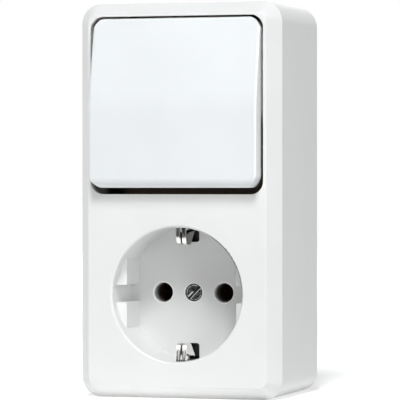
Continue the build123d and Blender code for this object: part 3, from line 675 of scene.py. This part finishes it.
class SWITCHBOX_OT_mouldings(Operator):
    """Base plate, switch base, socket block, rocker carrier and plunger"""

    bl_idname = "switchbox.mouldings"
    bl_label = "Inner mouldings"

    def execute(self, context):
        look = context.scene.switchbox_look
        for node, name, colour, roughness in (
            ("base_plate", "plate plastic", look.plate_colour, 0.55),
            ("switch_base", "brown phenolic", (0.15, 0.095, 0.055), 0.42),
            ("socket_block", "black phenolic", (0.014, 0.011, 0.009), 0.45),
            ("rocker_carrier", "carrier nylon", (0.62, 0.60, 0.52), 0.45),
            ("plunger", "plunger nylon", (0.62, 0.60, 0.52), 0.40),
        ):
            only_material(frame["nodes"][node], matt_plastic(name, colour, roughness))
        return {"FINISHED"}


def direction(turn, lift):
    """Unit vector out of the front, turned to the right and lifted, in radians."""
    return Vector((
        math.sin(turn) * math.cos(lift), -math.cos(turn) * math.cos(lift), math.sin(lift)
    ))


class SWITCHBOX_OT_stage(Operator):
    """White floor, lamps, surroundings and the camera"""

    bl_idname = "switchbox.stage"
    bl_label = "Studio"

    def execute(self, context):
        light = context.scene.switchbox_light
        self.floor(light.floor, light.glow)
        middle = Vector((0.0, face_y, 0.0))
        for name, azimuth, elevation, distance, width, height, power in (
            ("key lamp", 12.0, 48.5, 1.0, 0.20, 0.20, light.key),
            ("upper lamp", 12.0, 56.5, 1.0, 0.20, 0.20, light.upper),
            ("left panel", -100.0, 5.0, 1.2, 0.60, 0.60, light.left),
            ("right panel", 56.0, 8.0, 1.2, 0.60, 0.60, light.right),
            ("back panel", 195.0, 38.0, 1.3, 0.80, 0.80, light.back),
        ):
            away = direction(math.radians(azimuth), math.radians(elevation))
            self.lamp(name, middle + away * distance, middle, width, height, power)
        self.surroundings(light.world)
        self.camera(context.scene.switchbox_camera, middle)
        context.scene.view_settings.view_transform = "Standard"
        return {"FINISHED"}

    @staticmethod
    def floor(lift, glow):
        """Plain floor that looks white from afar; a patch of it beside the box glows unseen and
        lights the box from below, though it is no lamp.
        """
        floor_z = cad_box[0].z
        bpy.ops.object.select_all(action="DESELECT")
        bpy.ops.mesh.primitive_plane_add(size=FLOOR_SIZE, location=(0.0, 0.0, floor_z))
        plane = bpy.context.object
        plane.name = "studio_floor"
        bpy.ops.object.transform_apply(location=True, rotation=True, scale=True)
        graph = Graph(bpy.data.materials.new("white floor"))
        matt = graph.node("ShaderNodeBsdfDiffuse", {}, {"Color": FLOOR_WHITE})
        away, beside = (
            graph.node(
                "ShaderNodeVectorMath", {"operation": "DISTANCE"},
                {0: graph.place(), 1: (x, y, floor_z)}, "Value",
            )
            for x, y in ((0.0, 0.0), GLOW_PATCH_PLACE)
        )
        # the glowing patch, unseen by looking rays, lights the box from below
        faint, bright = (
            graph.node("ShaderNodeEmission", {}, {"Color": WHITE, "Strength": level})
            for level in (
                graph.ramp(beside, *GLOW_PATCH_REACH, glow, 0.0),
                graph.ramp(away, *FLOOR_LIFT_REACH, lift, 1.0),
            )
        )
        seen = graph.node("ShaderNodeMixShader", {}, {0: graph.looking(), 1: faint, 2: bright})
        both = graph.node("ShaderNodeAddShader", {}, {0: matt, 1: seen})
        graph.node("ShaderNodeOutputMaterial", {}, {"Surface": both})
        only_material(plane, graph.owner)

    @staticmethod
    def lamp(name, place, target, width, height, power):
        """A rectangular lamp that faces the target and isn't seen itself."""
        data = bpy.data.lights.new(name, "AREA")
        data.shape = "RECTANGLE"
        data.size = width
        data.size_y = height
        data.energy = power
        data.color = LAMP_TINT
        lamp = bpy.data.objects.new(name, data)
        lamp.location = place
        lamp.rotation_mode = "QUATERNION"
        lamp.rotation_quaternion = (target - place).to_track_quat("-Z", "Y")
        lamp.visible_camera = False
        bpy.context.scene.collection.objects.link(lamp)

    @staticmethod
    def surroundings(strength):
        """A white room that looks full white and lights the box only faintly."""
        world = bpy.data.worlds.new("white room")
        bpy.context.scene.world = world
        graph = Graph(world)
        room, seen = (
            graph.node("ShaderNodeBackground", {}, {"Color": WHITE, "Strength": level})
            for level in (strength, 1.0)
        )
        sky = graph.node("ShaderNodeMixShader", {}, {0: graph.looking(), 1: room, 2: seen})
        graph.node("ShaderNodeOutputWorld", {}, {"Surface": sky})

    @staticmethod
    def camera(settings, middle):
        """The camera of the photograph, whose own axis misses the middle by a little."""
        back = direction(settings.heading, settings.pitch)
        level = Vector((math.cos(settings.heading), math.sin(settings.heading), 0.0))
        upright = back.cross(level)
        right = math.cos(settings.roll) * level + math.sin(settings.roll) * upright
        up = math.cos(settings.roll) * upright - math.sin(settings.roll) * level
        data = bpy.data.cameras.new("camera")
        data.sensor_width = 36.0
        data.lens = settings.lens
        data.clip_start = 0.01
        data.clip_end = 20.0
        camera = bpy.data.objects.new("camera", data)
        place = middle + direction(settings.azimuth, settings.elevation) * settings.distance
        camera.matrix_world = Matrix((
            (right.x, up.x, back.x, place.x),
            (right.y, up.y, back.y, place.y),
            (right.z, up.z, back.z, place.z),
            (0.0, 0.0, 0.0, 1.0),
        ))
        bpy.context.scene.collection.objects.link(camera)
        bpy.context.scene.camera = camera


STEPS = (
    SWITCHBOX_OT_cover,
    SWITCHBOX_OT_rocker,
    SWITCHBOX_OT_metal,
    SWITCHBOX_OT_mouldings,
    SWITCHBOX_OT_stage,
)


class SWITCHBOX_PT_panel(Panel):
    """Sizes, colours and steps of the switch box"""

    bl_label = "Switch Box"
    bl_idname = "SWITCHBOX_PT_panel"
    bl_space_type = "VIEW_3D"
    bl_region_type = "UI"
    bl_category = "Switch Box"

    def draw(self, context):
        for group in ("switchbox_look", "switchbox_camera", "switchbox_light"):
            settings = getattr(context.scene, group)
            box = self.layout.box()
            for name in settings.__annotations__:
                box.prop(settings, name)
        for step in STEPS:
            self.layout.operator(step.bl_idname)


CLASSES = (LookSettings, CameraSettings, LightSettings, *STEPS, SWITCHBOX_PT_panel)


def register():
    for entry in CLASSES:
        bpy.utils.register_class(entry)
    bpy.types.Scene.switchbox_look = PointerProperty(type=LookSettings)
    bpy.types.Scene.switchbox_camera = PointerProperty(type=CameraSettings)
    bpy.types.Scene.switchbox_light = PointerProperty(type=LightSettings)


def unregister():
    del bpy.types.Scene.switchbox_light
    del bpy.types.Scene.switchbox_camera
    del bpy.types.Scene.switchbox_look
    for entry in reversed(CLASSES):
        bpy.utils.unregister_class(entry)


def main():
    """Builds every piece and the studio."""
    register()
    bpy.ops.switchbox.cover()
    bpy.ops.switchbox.rocker()
    bpy.ops.switchbox.metal()
    bpy.ops.switchbox.mouldings()
    bpy.ops.switchbox.stage()


if __name__ == "__main__":
    main()
